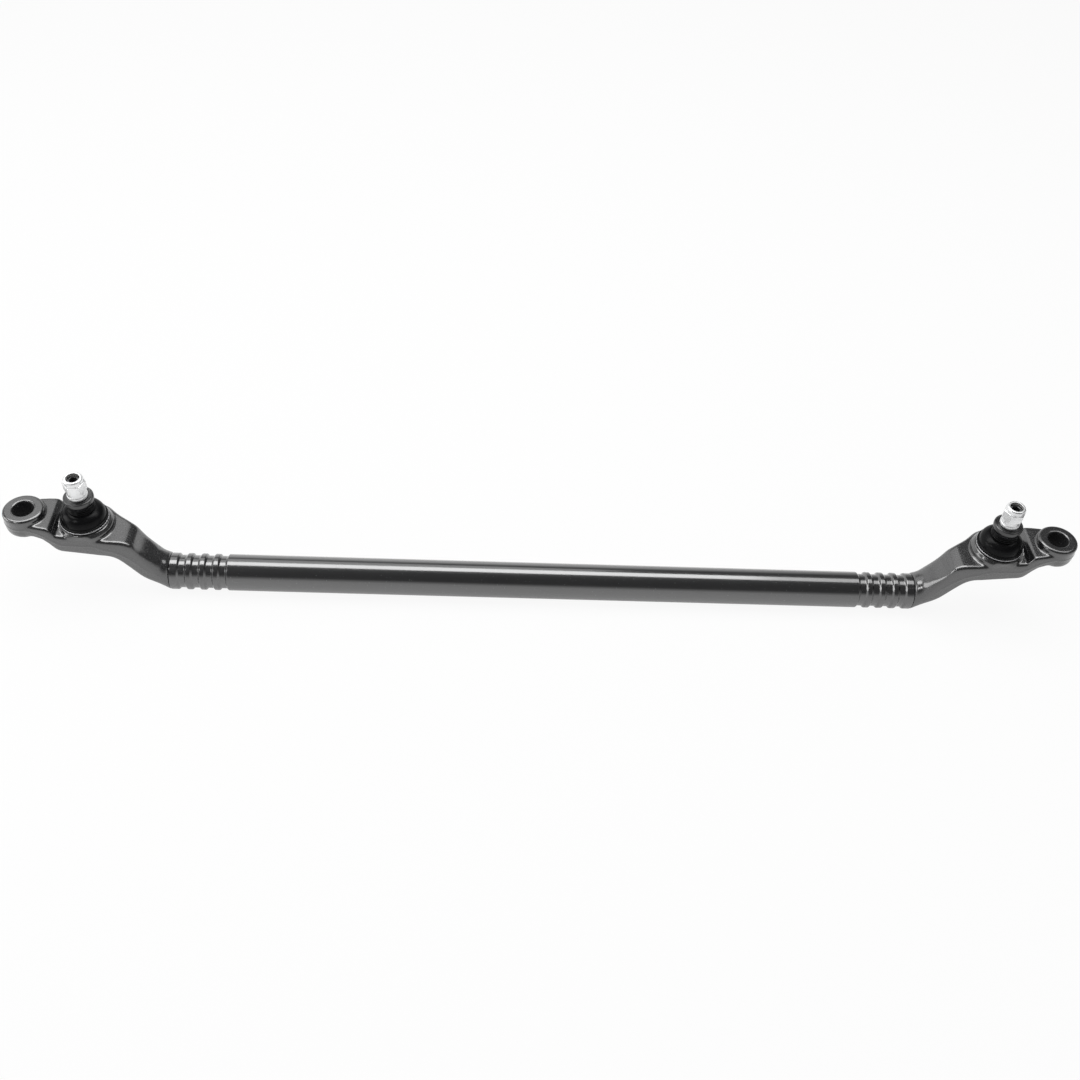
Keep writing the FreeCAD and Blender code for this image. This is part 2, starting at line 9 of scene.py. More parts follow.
import bmesh
import bpy
import numpy as np
from bpy.props import FloatProperty, FloatVectorProperty, IntProperty, PointerProperty
from bpy.types import Operator, Panel, PropertyGroup
from mathutils import Matrix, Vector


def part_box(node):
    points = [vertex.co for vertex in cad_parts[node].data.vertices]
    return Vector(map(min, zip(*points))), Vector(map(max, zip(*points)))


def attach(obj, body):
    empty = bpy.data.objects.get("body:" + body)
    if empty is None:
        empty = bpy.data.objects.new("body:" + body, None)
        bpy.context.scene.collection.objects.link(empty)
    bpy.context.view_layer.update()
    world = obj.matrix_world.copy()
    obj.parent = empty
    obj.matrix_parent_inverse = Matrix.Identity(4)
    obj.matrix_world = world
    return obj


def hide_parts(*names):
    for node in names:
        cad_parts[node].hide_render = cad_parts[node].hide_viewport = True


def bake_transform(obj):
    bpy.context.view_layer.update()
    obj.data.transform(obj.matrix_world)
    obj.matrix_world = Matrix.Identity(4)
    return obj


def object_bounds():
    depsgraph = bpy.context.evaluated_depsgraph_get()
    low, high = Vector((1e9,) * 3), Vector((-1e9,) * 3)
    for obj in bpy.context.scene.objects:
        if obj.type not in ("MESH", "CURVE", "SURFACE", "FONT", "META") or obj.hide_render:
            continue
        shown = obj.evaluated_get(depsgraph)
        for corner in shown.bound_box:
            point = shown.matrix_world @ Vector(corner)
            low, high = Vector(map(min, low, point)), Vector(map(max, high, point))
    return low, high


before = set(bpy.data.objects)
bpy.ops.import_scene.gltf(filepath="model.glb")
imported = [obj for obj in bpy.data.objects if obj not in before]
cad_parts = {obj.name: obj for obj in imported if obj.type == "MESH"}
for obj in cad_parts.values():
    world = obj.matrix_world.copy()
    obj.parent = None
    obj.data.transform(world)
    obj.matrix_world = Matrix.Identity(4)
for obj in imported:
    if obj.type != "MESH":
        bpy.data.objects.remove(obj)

bl_info = {
    "name": "Steering Center Link",
    "version": (1, 0, 0),
    "blender": (4, 5, 0),
    "location": "View3D > Sidebar > Center Link",
    "description": "Surfaces and finishes of a steering center link on its packed model",
    "category": "Object",
}

CAD_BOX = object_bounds()
MM = 0.001
SIDES = ("left", "right")

# Degrees between two faces past which the edge between them is sharp
SOFT_CREASE = 40
HARD_CREASE = 28


# Places and sizes read from the frame

def span(node):
    """Lowest and highest corner of a node, as arrays."""
    low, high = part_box(node)
    return np.array(low), np.array(high)


def reach(node):
    """Largest radius of a turned node about the stud's axis."""
    low, high = span(node)
    return (high[0] - low[0]) / 2


def socket_centre(side):
    """The stud's axis in plan, from the boot ring, which is round about it."""
    low, high = span(side + "_boot_clamp_ring")
    return (low + high) / 2


# Surfaces as arrays

def grid_faces(rows, columns, wrap_rows):
    """Quads of a grid of points whose columns close on themselves; they face the side where
    columns cross rows by the right hand."""
    r, c = np.meshgrid(np.arange(rows if wrap_rows else rows - 1), np.arange(columns), indexing="ij")
    up, on = (r + 1) % rows, (c + 1) % columns
    quads = np.stack([r * columns + c, r * columns + on, up * columns + on, up * columns + c], -1)
    return quads.reshape(-1, 4)


def pole_faces(row_start, columns, pole, at_end):
    """Triangles from one ring of points to a single point on the axis."""
    c = np.arange(columns)
    on = (c + 1) % columns
    ring, after = row_start + c, row_start + on
    middle = np.full(columns, pole)
    order = [ring, after, middle] if at_end else [middle, after, ring]
    return np.stack(order, -1)


def new_piece(name, points, faces, body, material, replaced, crease=SOFT_CREASE):
    """Mesh object at the origin from points in metres and lists of faces, riding on its body."""
    mesh = bpy.data.meshes.new(name)
    mesh.from_pydata(points.tolist(), [], [f for part in faces for f in part.tolist()])
    mesh.validate()
    mesh.shade_smooth()
    mesh.set_sharp_from_angle(angle=math.radians(crease))
    piece = bpy.data.objects.new(name, mesh)
    bpy.context.scene.collection.objects.link(piece)
    return finished(piece, body, material, replaced)


def finished(piece, body, material, replaced):
    """Gives a piece its material and slot and the body it rides on, and hides the nodes it stands for."""
    piece.data.materials.clear()
    piece.data.materials.append(material)
    if body:
        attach(piece, body)
    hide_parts(*replaced)
    return piece


def rounded(corners, steps=6):
    """Open outline through corners of (radius, height, rounding): between the two points one rounding
    away on its sides, each corner is a quadratic curve with the corner as its control point."""
    given = np.array(corners, float)
    at, size = given[:, :2], given[:, 2:]
    back = np.roll(at, 1, 0) - at
    ahead = np.roll(at, -1, 0) - at
    back /= np.linalg.norm(back, axis=1, keepdims=True)
    ahead /= np.linalg.norm(ahead, axis=1, keepdims=True)
    start, end = at + back * size, at + ahead * size
    t = np.linspace(0, 1, steps)[None, :, None]
    curve = (1 - t) ** 2 * start[:, None] + 2 * t * (1 - t) * at[:, None] + t ** 2 * end[:, None]
    return curve.reshape(-1, 2)


def turned_points(radius, height, centre, columns):
    """Points at centre + radius in the direction of each column's angle, at each height. Radius and
    height are one value a row, or one value a row and column. All in metres."""
    angle = np.linspace(0, 2 * math.pi, columns, endpoint=False)
    radius = np.broadcast_to(np.reshape(radius, (len(radius), -1)), (len(radius), columns))
    height = np.broadcast_to(np.reshape(height, (len(height), -1)), (len(height), columns))
    grid = np.stack([
        centre[0] + radius * np.cos(angle),
        centre[1] + radius * np.sin(angle),
        height,
    ], -1)
    return grid.reshape(-1, 3)


def closed_turning(name, outline, centre, columns, body, material, replaced, crease=SOFT_CREASE):
    """A closed outline of (radius, height) turned about the stud's axis: no poles."""
    points = turned_points(outline[:, 0], outline[:, 1], centre, columns)
    faces = [grid_faces(len(outline), columns, True)]
    return new_piece(name, points, faces, body, material, replaced, crease)


def wire_points(path, across, up, radius, sides):
    """Round wire along a path: each path point plus radius in the direction of each side's angle in
    the plane of the unit vectors across and up at that point."""
    angle = np.linspace(0, 2 * math.pi, sides, endpoint=False)[None, :, None]
    rings = path[:, None] + radius * (np.cos(angle) * across[:, None] + np.sin(angle) * up[:, None])
    return rings.reshape(-1, 3)


def unit(vectors):
    """Vectors of length one."""
    return vectors / np.linalg.norm(vectors, axis=-1, keepdims=True)


# Shader expressions

class Reading:
    """A socket in a node tree. Each operator adds one Math node."""

    def __init__(self, nodes, socket):
        self.nodes = nodes
        self.socket = socket

    def math(self, operation, *others):
        return self.nodes.add("Math", {"operation": operation}, dict(enumerate((self, *others))))

    def __add__(self, other):
        return self.math("ADD", other)

    def __mul__(self, other):
        return self.math("MULTIPLY", other)

    def __sub__(self, other):
        return self.math("SUBTRACT", other)

    def __rsub__(self, other):
        return self * -1 + other

    __radd__ = __add__
    __rmul__ = __mul__

    def above(self, low, high):
        """0 under low, 1 over high, and straight between them."""
        limits = {"Value": self, "From Min": low, "From Max": high}
        return self.nodes.add("MapRange", {"clamp": True}, limits)


class NodeWork:
    """Adds nodes to one tree."""

    def __init__(self, tree):
        self.tree = tree

    def feed(self, socket, value):
        """Links a reading to a socket, or sets a plain value on it."""
        if isinstance(value, Reading):
            self.tree.links.new(value.socket, socket)
        else:
            socket.default_value = value

    def add(self, kind, settings, inputs, output=0):
        """Any node: its settings first, then the values or links of its sockets."""
        node = self.tree.nodes.new("ShaderNode" + kind)
        for key, value in settings.items():
            setattr(node, key, value)
        for key, value in inputs.items():
            self.feed(node.inputs[key], value)
        return Reading(self, node.outputs[output])

    def place(self, scale=(1.0, 1.0, 1.0), centre=(0.0, 0.0, 0.0)):
        """Object coordinates about a centre, stretched by a scale."""
        here = self.add("TexCoord", {}, {}, "Object")
        moved = self.add("VectorMath", {"operation": "SUBTRACT"}, {0: here, 1: centre})
        return self.add("VectorMath", {"operation": "MULTIPLY"}, {0: moved, 1: scale})

    def noise(self, place, scale, detail=3.0, roughness=0.5):
        inputs = {"Vector": place, "Scale": scale, "Detail": detail, "Roughness": roughness}
        return self.add("TexNoise", {}, inputs)

    def mix(self, factor, dark, light):
        """Colour between two others."""
        return self.add("Mix", {"data_type": "RGBA"}, {0: factor, 6: dark, 7: light}, 2)

    def ray(self, kind):
        """1 for rays of one kind, such as camera rays, and 0 for the others."""
        return self.add("LightPath", {}, {}, kind)


class Finish(NodeWork):
    """One material, with a Principled shader and the nodes that feed it."""

    def __init__(self, name):
        self.material = bpy.data.materials.new(name)
        self.material.use_nodes = True
        super().__init__(self.material.node_tree)
        self.shader = self.tree.nodes["Principled BSDF"]

    def bump(self, height, distance, strength=1.0):
        inputs = {"Height": height, "Distance": distance, "Strength": strength}
        self.set(Normal=self.add("Bump", {}, inputs))

    def set(self, **values):
        """Sockets of the shader, by their names with underscores."""
        for key, value in values.items():
            self.feed(self.shader.inputs[key.replace("_", " ")], value)


def shade(colour, factor=1.0):
    """A colour of the settings, darkened or lightened by a factor, with its alpha."""
    return tuple(float(c) * factor for c in colour) + (1.0,)


def tube_paint(settings):
    """Satin enamel on drawn tube: long faint draw lines, orange peel, rub marks and dust specks."""
    f = Finish("tube enamel")
    place = f.place()
    lines = f.noise(f.place((4.0, 260.0, 260.0)), 6.0, 2.0)
    peel = f.noise(place, 700.0, 2.0)
    patches = f.noise(place, 22.0, 3.0)
    scuffs = f.noise(f.place((9.0, 90.0, 90.0)), 5.0, 4.0, 0.7).above(0.66, 0.74)
    specks = f.noise(place, 900.0, 1.0).above(0.73, 0.78)
    marks = (scuffs * 0.35 + specks * 0.6).math("MINIMUM", 1.0)
    f.set(Base_Color=f.mix(marks, shade(settings.paint), shade(settings.dust)))
    f.set(Roughness=0.26 + patches * 0.1 + marks * 0.25, Coat_Weight=1.0 - marks * 0.5)
    f.set(Coat_Roughness=settings.coat_roughness, Coat_IOR=settings.coat_ior)
    f.bump(lines * 0.35 + peel * 0.25 + patches * 0.6, 0.12 * MM)
    return f.material


def inside_bore(f, centre, radius, edge=0.4 * MM):
    """1 inside a vertical bore, 0 outside it, from the distance to the bore's axis in plan."""
    flat = f.place((1.0, 1.0, 0.0), (centre[0], centre[1], 0.0))
    away = f.add("VectorMath", {"operation": "LENGTH"}, {0: flat}, "Value")
    return 1 - away.above(radius - edge, radius)


def arm_paint(name, settings, grain, bore=None):
    """Paint over a forged skin: scale pits and grit under the film, thin spots on the crests. The bore
    is a centre and a radius in plan, inside which the steel is dull."""
    f = Finish(name)
    place = f.place()
    skin = f.noise(place, 230.0, 4.0, 0.6)
    grit = f.noise(place, 760.0, 3.0, 0.6)
    swell = f.noise(place, 45.0, 2.0)
    pits = f.add("TexVoronoi", {}, {"Vector": place, "Scale": 420.0}).above(0.05, 0.3)
    specks = grit.above(0.62, 0.72) * grain
    bare = inside_bore(f, *bore) if bore else 0.0
    f.set(Base_Color=f.mix(specks * 0.7, shade(settings.paint), shade(settings.dust)))
    f.set(Roughness=(0.3 + skin * 0.16 + specks * 0.2 + bare * 0.4).math("MINIMUM", 1.0))
    f.set(Coat_Weight=(0.95 - specks * 0.5) * (1 - bare), Specular_IOR_Level=0.25)
    f.set(Coat_Roughness=settings.forging_roughness, Coat_IOR=settings.coat_ior)
    relief = skin * (0.5 + grain) + grit * (0.35 + 0.3 * grain) + swell * 2.0 + pits * (0.5 * grain)
    f.bump(relief, 0.25 * MM)
    return f.material


def boot_rubber(settings):
    """Smooth moulded rubber with a bloom of dull patches."""
    f = Finish("boot rubber")
    place = f.place()
    bloom = f.noise(place, 120.0, 3.0)
    skin = f.noise(place, 1500.0, 2.0)
    dull = bloom.above(0.5, 0.8) * 0.5
    f.set(Base_Color=f.mix(dull, shade(settings.rubber), shade(settings.rubber, 1.8)))
    f.set(Roughness=0.18 + bloom * 0.14, Specular_IOR_Level=0.1)
    f.bump(skin * 0.4 + bloom * 0.5, 0.06 * MM)
    return f.material


def ring_rubber(settings):
    """Harder rubber with fine moulding rings."""
    f = Finish("seal rubber")
    place = f.place()
    rings = f.noise(f.place((60.0, 60.0, 1800.0)), 1.0, 2.0)
    bloom = f.noise(place, 200.0, 3.0)
    f.set(Base_Color=f.mix(bloom, shade(settings.rubber, 0.8), shade(settings.rubber, 2.2)))
    f.set(Roughness=0.2 + bloom * 0.2, Specular_IOR_Level=1.0)
    f.bump(rings * 0.4 + bloom * 0.3, 0.08 * MM)
    return f.material


def plated_steel(name, colour, roughness, depth, metal=1.0):
    """Plated or bare steel: turning marks, a cloudy tarnish and small dents."""
    f = Finish(name)
    place = f.place()
    rings = f.noise(f.place((90.0, 90.0, 2600.0)), 1.0, 2.0)
    cloud = f.noise(place, 160.0, 3.0)
    dents = f.noise(place, 620.0, 2.0)
    f.set(Base_Color=f.mix(cloud.above(0.35, 0.75), shade(colour), shade(colour, 0.82)))
    f.set(Metallic=metal, Roughness=roughness + cloud * 0.12 + rings * 0.06)
    f.bump(rings * 0.3 + dents * 0.5 + cloud * 0.5, depth)
    return f.material


def moulded_plastic(name, colour, roughness):
    """Moulded plastic: a fine grain and faint clouds in the colour."""
    f = Finish(name)
    place = f.place()
    grain = f.noise(place, 900.0, 2.0)
    cloud = f.noise(place, 90.0, 2.0)
    f.set(Base_Color=f.mix(cloud, shade(colour, 0.9), shade(colour)))
    f.set(Roughness=roughness + grain * 0.1)
    f.bump(grain * 0.4, 0.05 * MM)
    return f.material


# Pieces

def eased(value, low, high):
    """0 under low, 1 over high, and the cubic 3t^2 - 2t^3 between them."""
    t = np.clip((value - low) / (high - low), 0, 1)
    return t * t * (3 - 2 * t)


def crimped_radius(x, tube, settings):
    """Tube radius at each x: the plain radius less a flat-bottomed groove at each crimp, whose flanks
    ease in over the flank length."""
    half, radius = tube
    depth = np.zeros_like(x)
    wide, flank = settings.crimp_width / 2, settings.crimp_flank
    for i in range(settings.crimp_count):
        centre = half - settings.crimp_first - i * settings.crimp_pitch
        away = np.abs(np.abs(x) - centre)
        depth += settings.crimp_depth * (1 - eased(away, wide - flank, wide))
    return radius - depth


# Points along the tube's outline at each crimped end and between them, and how far the close points
# go past the last groove, as a share of the pitch
CRIMP_ROWS = 260
PLAIN_ROWS = 60
PAST_CRIMP = 0.8


def tube_piece(settings, material):
    """Tube wall: the outer outline runs along X with its crimps, turns in at a rounded end, and comes
    back at the inner radius; the outline is turned about the X axis."""
    half, _, radius = span("centre_tube")[1]
    pitches = settings.crimp_count - 1 + PAST_CRIMP
    crimped = half - settings.crimp_first - pitches * settings.crimp_pitch
    fine = np.linspace(crimped, half - settings.end_round, CRIMP_ROWS)
    plain = np.linspace(-crimped, crimped, PLAIN_ROWS)[1:-1]
    x = np.concatenate([-fine[::-1], plain, fine])
    outer = np.stack([crimped_radius(x, (half, radius), settings), x], -1)
    turn = np.linspace(0, math.pi / 2, 5)[1:]
    round_off = settings.end_round
    nose_r = radius - round_off * (1 - np.cos(turn))
    nose = np.stack([nose_r, half - round_off * (1 - np.sin(turn))], -1)
    inner_r = radius - settings.wall
    inner = np.stack([np.full(9, inner_r), np.linspace(half, -half, 9)], -1)
    tail = nose[::-1] * (1, -1)
    outline = np.concatenate([outer, nose, inner, tail])
    points = turned_points(outline[:, 0], outline[:, 1], (0, 0), settings.columns)
    points = points[:, [2, 0, 1]]
    faces = [grid_faces(len(outline), settings.columns, True)]
    return new_piece("tube_wall", points, faces, "link", material, ["centre_tube"])


# How squarely a face looks to the side to place the ridge, how much it may look up or down to carry
# it, how far the sides draw in at the arm's ends (metres), and the steps over which its height is evened
SQUARE_ON = 0.8
MOST_TILT = 0.6
END_ALLOWANCE = 0.02
EVENING_STEPS = 7


def raise_flash(mesh, settings):
    """Low ridge where the forging dies met: each point of the outer sides moves out along its normal by
    the ridge's height times a bell curve of its distance from the middle height of that side, which is
    read from the side's lowest and highest points in steps along the arm."""
    count = len(mesh.vertices)
    place, normal = np.empty(count * 3), np.empty(count * 3)
    mesh.vertices.foreach_get("co", place)
    mesh.vertex_normals.foreach_get("vector", normal)
    place, normal = place.reshape(-1, 3), normal.reshape(-1, 3)
    step = ((np.abs(place[:, 0]) - np.abs(place[:, 0]).min()) / settings.flash_step).astype(int)
    moved = np.zeros(count)
    for sign in (-1, 1):
        outer = (normal[:, 1] * sign > SQUARE_ON) & (place[:, 1] * sign > settings.flash_side)
        low, high = np.full(step.max() + 1, 1.0), np.full(step.max() + 1, -1.0)
        np.minimum.at(low, step[outer], place[outer, 2])
        np.maximum.at(high, step[outer], place[outer, 2])
        known = np.flatnonzero(high > low)
        middle = np.interp(np.arange(len(low)), known, ((low + high) / 2)[known])
        evening = np.full(EVENING_STEPS, 1 / EVENING_STEPS)
        middle = np.convolve(np.pad(middle, EVENING_STEPS // 2, "edge"), evening, "valid")
        away = (place[:, 2] - middle[step]) / settings.flash_width
        here = (normal[:, 1] * sign > 0) & (np.abs(normal[:, 2]) < MOST_TILT)
        here &= place[:, 1] * sign > settings.flash_side - END_ALLOWANCE * np.abs(normal[:, 0])
        from_eye = np.hypot(np.abs(place[:, 0]) - settings.eye_x, place[:, 1] - settings.eye_y)
        here &= from_eye > settings.eye_inner
        moved = np.where(here, np.exp(-away ** 2), moved)
    full = settings.flash_start + settings.flash_rise
    moved *= eased(np.abs(place[:, 0]), settings.flash_start, full)
    place += normal * (settings.flash_height * moved)[:, None]
    mesh.vertices.foreach_set("co", place.ravel())
    mesh.update()


def arm_piece(side, settings, material):
    """The forged solid taken over as an even skin of small quads, then relaxed so that its edges and
    inner corners get the soft rounding of a forging."""
    node = side + "_forged_end"
    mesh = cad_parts[node].data.copy()
    work = bmesh.new()
    work.from_mesh(mesh)
    bmesh.ops.remove_doubles(work, verts=work.verts, dist=settings.merge)
    work.to_mesh(mesh)
    work.free()
    rough = bpy.data.objects.new(side + "_rough", mesh)
    bpy.context.scene.collection.objects.link(rough)
    skin = rough.modifiers.new("skin", "REMESH")
    skin.mode = "VOXEL"
    skin.voxel_size = settings.voxel
    relax = rough.modifiers.new("relax", "SMOOTH")
    relax.factor = 0.5
    relax.iterations = settings.relax_passes
    depsgraph = bpy.context.evaluated_depsgraph_get()
    final = bpy.data.meshes.new_from_object(rough.evaluated_get(depsgraph))
    final.name = side + "_arm"
    bpy.data.objects.remove(rough)
    raise_flash(final, settings)
    final.shade_smooth()
    piece = bpy.data.objects.new(side + "_arm", final)
    bpy.context.scene.collection.objects.link(piece)
    return finished(piece, "link", material, [node])


def boot_outline(settings, low, top, lip_r):
    """Outline of the boot's wall in (radius, height): lip with the ring's groove, bell as a cubic curve
    from the lip to the throat, ribs as half waves, and the inner wall a wall's thickness inside."""
    wall = settings.boot_wall
    lip_top = low + settings.lip_height
    throat_z = top - settings.rib_count * settings.rib_pitch
    rib_r = reach("left_boot_garter_spring") - settings.garter_stand
    throat_r = rib_r - settings.rib_depth
    grip_r = settings.neck_r
    groove_z = low + 0.5 * settings.lip_height
    lip = rounded([
        (grip_r, low, 0.1 * MM),
        (lip_r, low, 0.35 * MM),
        (lip_r, groove_z - settings.groove_half, 0.1 * MM),
        (lip_r - settings.groove_depth, groove_z, 0.4 * MM),
        (lip_r, groove_z + settings.groove_half, 0.1 * MM),
        (lip_r, lip_top, 0.4 * MM),
        (settings.bell_r, lip_top + 0.1 * MM, 0.5 * MM),
        (settings.bell_r + 0.1 * MM, lip_top + 1.4 * MM, 0.2 * MM),
    ], 5)[3:-4]
    t = np.linspace(0, 1, 34)[1:, None]
    start = np.array([settings.bell_r, lip_top + 1.2 * MM])
    end = np.array([throat_r, throat_z])
    rise = end[1] - start[1]
    first = start + (0.1 * MM, 0.62 * rise)
    second = end + (0.42 * (start[0] - end[0]), 0.0)
    rest = 1 - t
    bell = rest ** 3 * start + 3 * t * rest ** 2 * first + 3 * t ** 2 * rest * second + t ** 3 * end
    climb = np.linspace(0, 1, settings.rib_count * 10 + 1)[1:]
    wave = np.abs(np.sin(math.pi * settings.rib_count * climb)) ** 0.8
    ribs = np.stack([throat_r + settings.rib_depth * wave, throat_z + climb * (top - throat_z)], -1)
    inner_r = throat_r - 0.6 * wall
    inner_top = np.array([[throat_r - 0.2 * wall, top], [inner_r, top - 0.2 * MM], [inner_r, throat_z]])
    inside = bell[::-3] - (0.9 * wall, 0.6 * wall)
    inside = inside[inside[:, 0] > inner_r + 0.1 * MM]
    seat = np.array([[settings.bell_r - wall, lip_top + 0.5 * MM], [grip_r, lip_top - 0.2 * MM]])
    return np.concatenate([lip, bell, ribs, inner_top, inside, seat])


def boot_piece(side, settings, material):
    """Bellows boot: lip, bell and ribs turned about the stud's axis and baked in place; it rides on no
    body.
    """
    node = side + "_dust_boot"
    low, high = span(node)
    outline = boot_outline(settings, low[2], high[2], reach(node))
    centre = socket_centre(side)
    boot = closed_turning(side + "_boot", outline, centre, 144, None, material, [node])
    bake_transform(boot)
    return boot


def seal_piece(side, settings, material):
    """Thick ring round the taper, with a shallow recess round its top and a rounded rim."""
    node = side + "_boot_collar"
    low, high = span(node)
    outer = reach(node)
    bore_low = settings.taper_r - (low[2] - settings.taper_z) * settings.taper_rate / 2
    bore_high = bore_low - (high[2] - low[2]) * settings.taper_rate / 2
    tall = high[2] - low[2]
    outline = rounded([
        (bore_low + 0.06 * MM, low[2], 0.2 * MM),
        (outer - 0.9 * MM, low[2], 0.4 * MM),
        (outer - 0.25 * MM, low[2] + 0.22 * tall, 0.5 * MM),
        (outer, low[2] + 0.45 * tall, 0.6 * MM),
        (outer - 0.1 * MM, high[2] - 0.5 * MM, 0.45 * MM),
        (outer - 0.9 * MM, high[2], 0.35 * MM),
        (outer - 1.6 * MM, high[2] - 0.22 * MM, 0.2 * MM),
        (bore_high + 1.0 * MM, high[2] - 0.22 * MM, 0.3 * MM),
        (bore_high + 0.06 * MM, high[2] - 0.02 * MM, 0.15 * MM),
    ])
    body = side + "_collar"
    centre = socket_centre(side)
    return closed_turning(side + "_seal", outline, centre, 128, body, material, [node])


# Turns of the lip ring, and the angle where its wire starts
RING_TURNS = 2.04
RING_START = {"left": 0.6, "right": 2.2}


def clamp_piece(side, material):
    """Spring ring of thin wire, wound twice round the boot's lip: a helix of two turns."""
    node = side + "_boot_clamp_ring"
    low, high = span(node)
    thick = (high[2] - low[2]) / 4
    radius = reach(node) - 2 * thick
    centre = (low + high) / 2
    t = np.linspace(0, 1, 289)
    angle = 2 * math.pi * RING_TURNS * t + RING_START[side]
    across = np.stack([np.cos(angle), np.sin(angle), np.zeros_like(angle)], -1)
    path = centre + across * radius + np.array([0, 0, 1]) * (thick * (2 * t - 1) * 0.98)[:, None]
    up = np.broadcast_to([0.0, 0.0, 1.0], across.shape)
    sides = 10
    points = wire_points(path, across, up, thick, sides)
    ends = np.array([path[0], path[-1]])
    count = len(points)
    faces = [
        grid_faces(len(path), sides, False)[:, ::-1],
        pole_faces(0, sides, count, False)[:, ::-1],
        pole_faces(count - sides, sides, count + 1, True)[:, ::-1],
    ]
    points = np.concatenate([points, ends])
    return new_piece(side + "_lip_ring", points, faces, "link", material, [node])


# Garter spring: its wire's radius as a share of the coil's, and points on each turn
GARTER_WIRE = 0.28
GARTER_STEPS = 14


def garter_piece(side, settings, material):
    """Garter spring: a small coil whose centre line is a ring round the boot's neck."""
    node = side + "_boot_garter_spring"
    low, high = span(node)
    coil_outer = (high[2] - low[2]) / 2
    wire = GARTER_WIRE * coil_outer
    coil = coil_outer - wire
    ring = reach(node) - coil_outer
    centre = (low + high) / 2
    turns = settings.garter_turns
    t = np.linspace(0, 2 * math.pi, turns * GARTER_STEPS, endpoint=False)
    radial = np.stack([np.cos(t), np.sin(t), np.zeros_like(t)], -1)
    up = np.broadcast_to([0.0, 0.0, 1.0], radial.shape)
    phase = turns * t
    outward = np.cos(phase)[:, None] * radial + np.sin(phase)[:, None] * up
    path = centre + ring * radial + coil * outward
    along = unit(np.roll(path, -1, 0) - np.roll(path, 1, 0))
    outward = unit(outward - along * np.sum(along * outward, -1, keepdims=True))
    points = wire_points(path, outward, np.cross(along, outward), wire, 6)
    faces = [grid_faces(len(path), 6, True)]
    return new_piece(side + "_garter", points, faces, side + "_collar", material, [node])


def hex_radius(angle, apothem, turn, sharpness=90):
    """Radius of a hexagon with slightly rounded corners: the apothem over the power sum of the six
    faces' cosines, which is rounder the lower its power."""
    faces = turn + np.radians(30 + 60 * np.arange(6))[:, None]
    lean = np.clip(np.cos(angle[None, :] - faces), 0.01, 1)
    return apothem * (lean ** sharpness).sum(0) ** (-1 / sharpness)


def nut_piece(side, settings, material):
    """Lock nut as one closed turning whose radius also depends on the angle: round foot and neck, a
    hexagon cut by a cone at each end, a crown that curls in over the insert, and the bore."""
    node = side + "_lock_nut"
    low, high = span(node)
    columns = 240
    angle = np.linspace(0, 2 * math.pi, columns, endpoint=False)
    turn = settings.left_nut_turn if side == "left" else settings.right_nut_turn
    hexagon = hex_radius(angle, settings.nut_across / 2, turn)
    foot = low[2]
    foot_top = foot + settings.nut_foot
    hex_low = foot_top + settings.nut_neck
    hex_high = high[2] - settings.nut_crown
    top = high[2]
    crown_r, bore = settings.nut_crown_r, settings.thread_r + 0.06 * MM
    slope = math.tan(settings.nut_chamfer)
    base = rounded([
        (bore + 0.6 * MM, foot, 0.1 * MM),
        (settings.nut_foot_r, foot, 0.45 * MM),
        (settings.nut_foot_r - 0.05 * MM, foot_top - 0.4 * MM, 0.8 * MM),
        (settings.nut_neck_r, foot_top + 0.1 * MM, 0.5 * MM),
        (settings.nut_neck_r, hex_low - 0.05 * MM, 0.1 * MM),
    ])
    share = (1 - np.cos(np.linspace(0, math.pi, 61))) / 2
    z = hex_low + share * (hex_high - hex_low)
    cone = crown_r + np.minimum(z - hex_low, hex_high - z) / slope
    body = np.minimum(hexagon[None, :], cone[:, None])
    crown = rounded([
        (crown_r, hex_high + 0.15 * MM, 0.1 * MM),
        (crown_r, top - 0.9 * MM, 0.8 * MM),
        (crown_r - 1.1 * MM, top, 0.6 * MM),
        (settings.nut_mouth_r, top - 0.15 * MM, 0.15 * MM),
        (settings.nut_mouth_r, top - 0.9 * MM, 0.15 * MM),
        (crown_r - 0.9 * MM, top - 0.95 * MM, 0.1 * MM),
        (crown_r - 0.9 * MM, top - 3.5 * MM, 0.1 * MM),
        (bore, top - 3.6 * MM, 0.1 * MM),
        (bore, foot + 0.6 * MM, 0.1 * MM),
    ])
    radius = np.concatenate([
        np.broadcast_to(base[:, :1], (len(base), columns)),
        body,
        np.broadcast_to(crown[:, :1], (len(crown), columns)),
    ])
    height = np.concatenate([base[:, 1], z, crown[:, 1]])
    points = turned_points(radius, height, socket_centre(side), columns)
    faces = [grid_faces(len(height), columns, True)]
    rides = side + "_stud"
    return new_piece(side + "_nut", points, faces, rides, material, [node], HARD_CREASE)


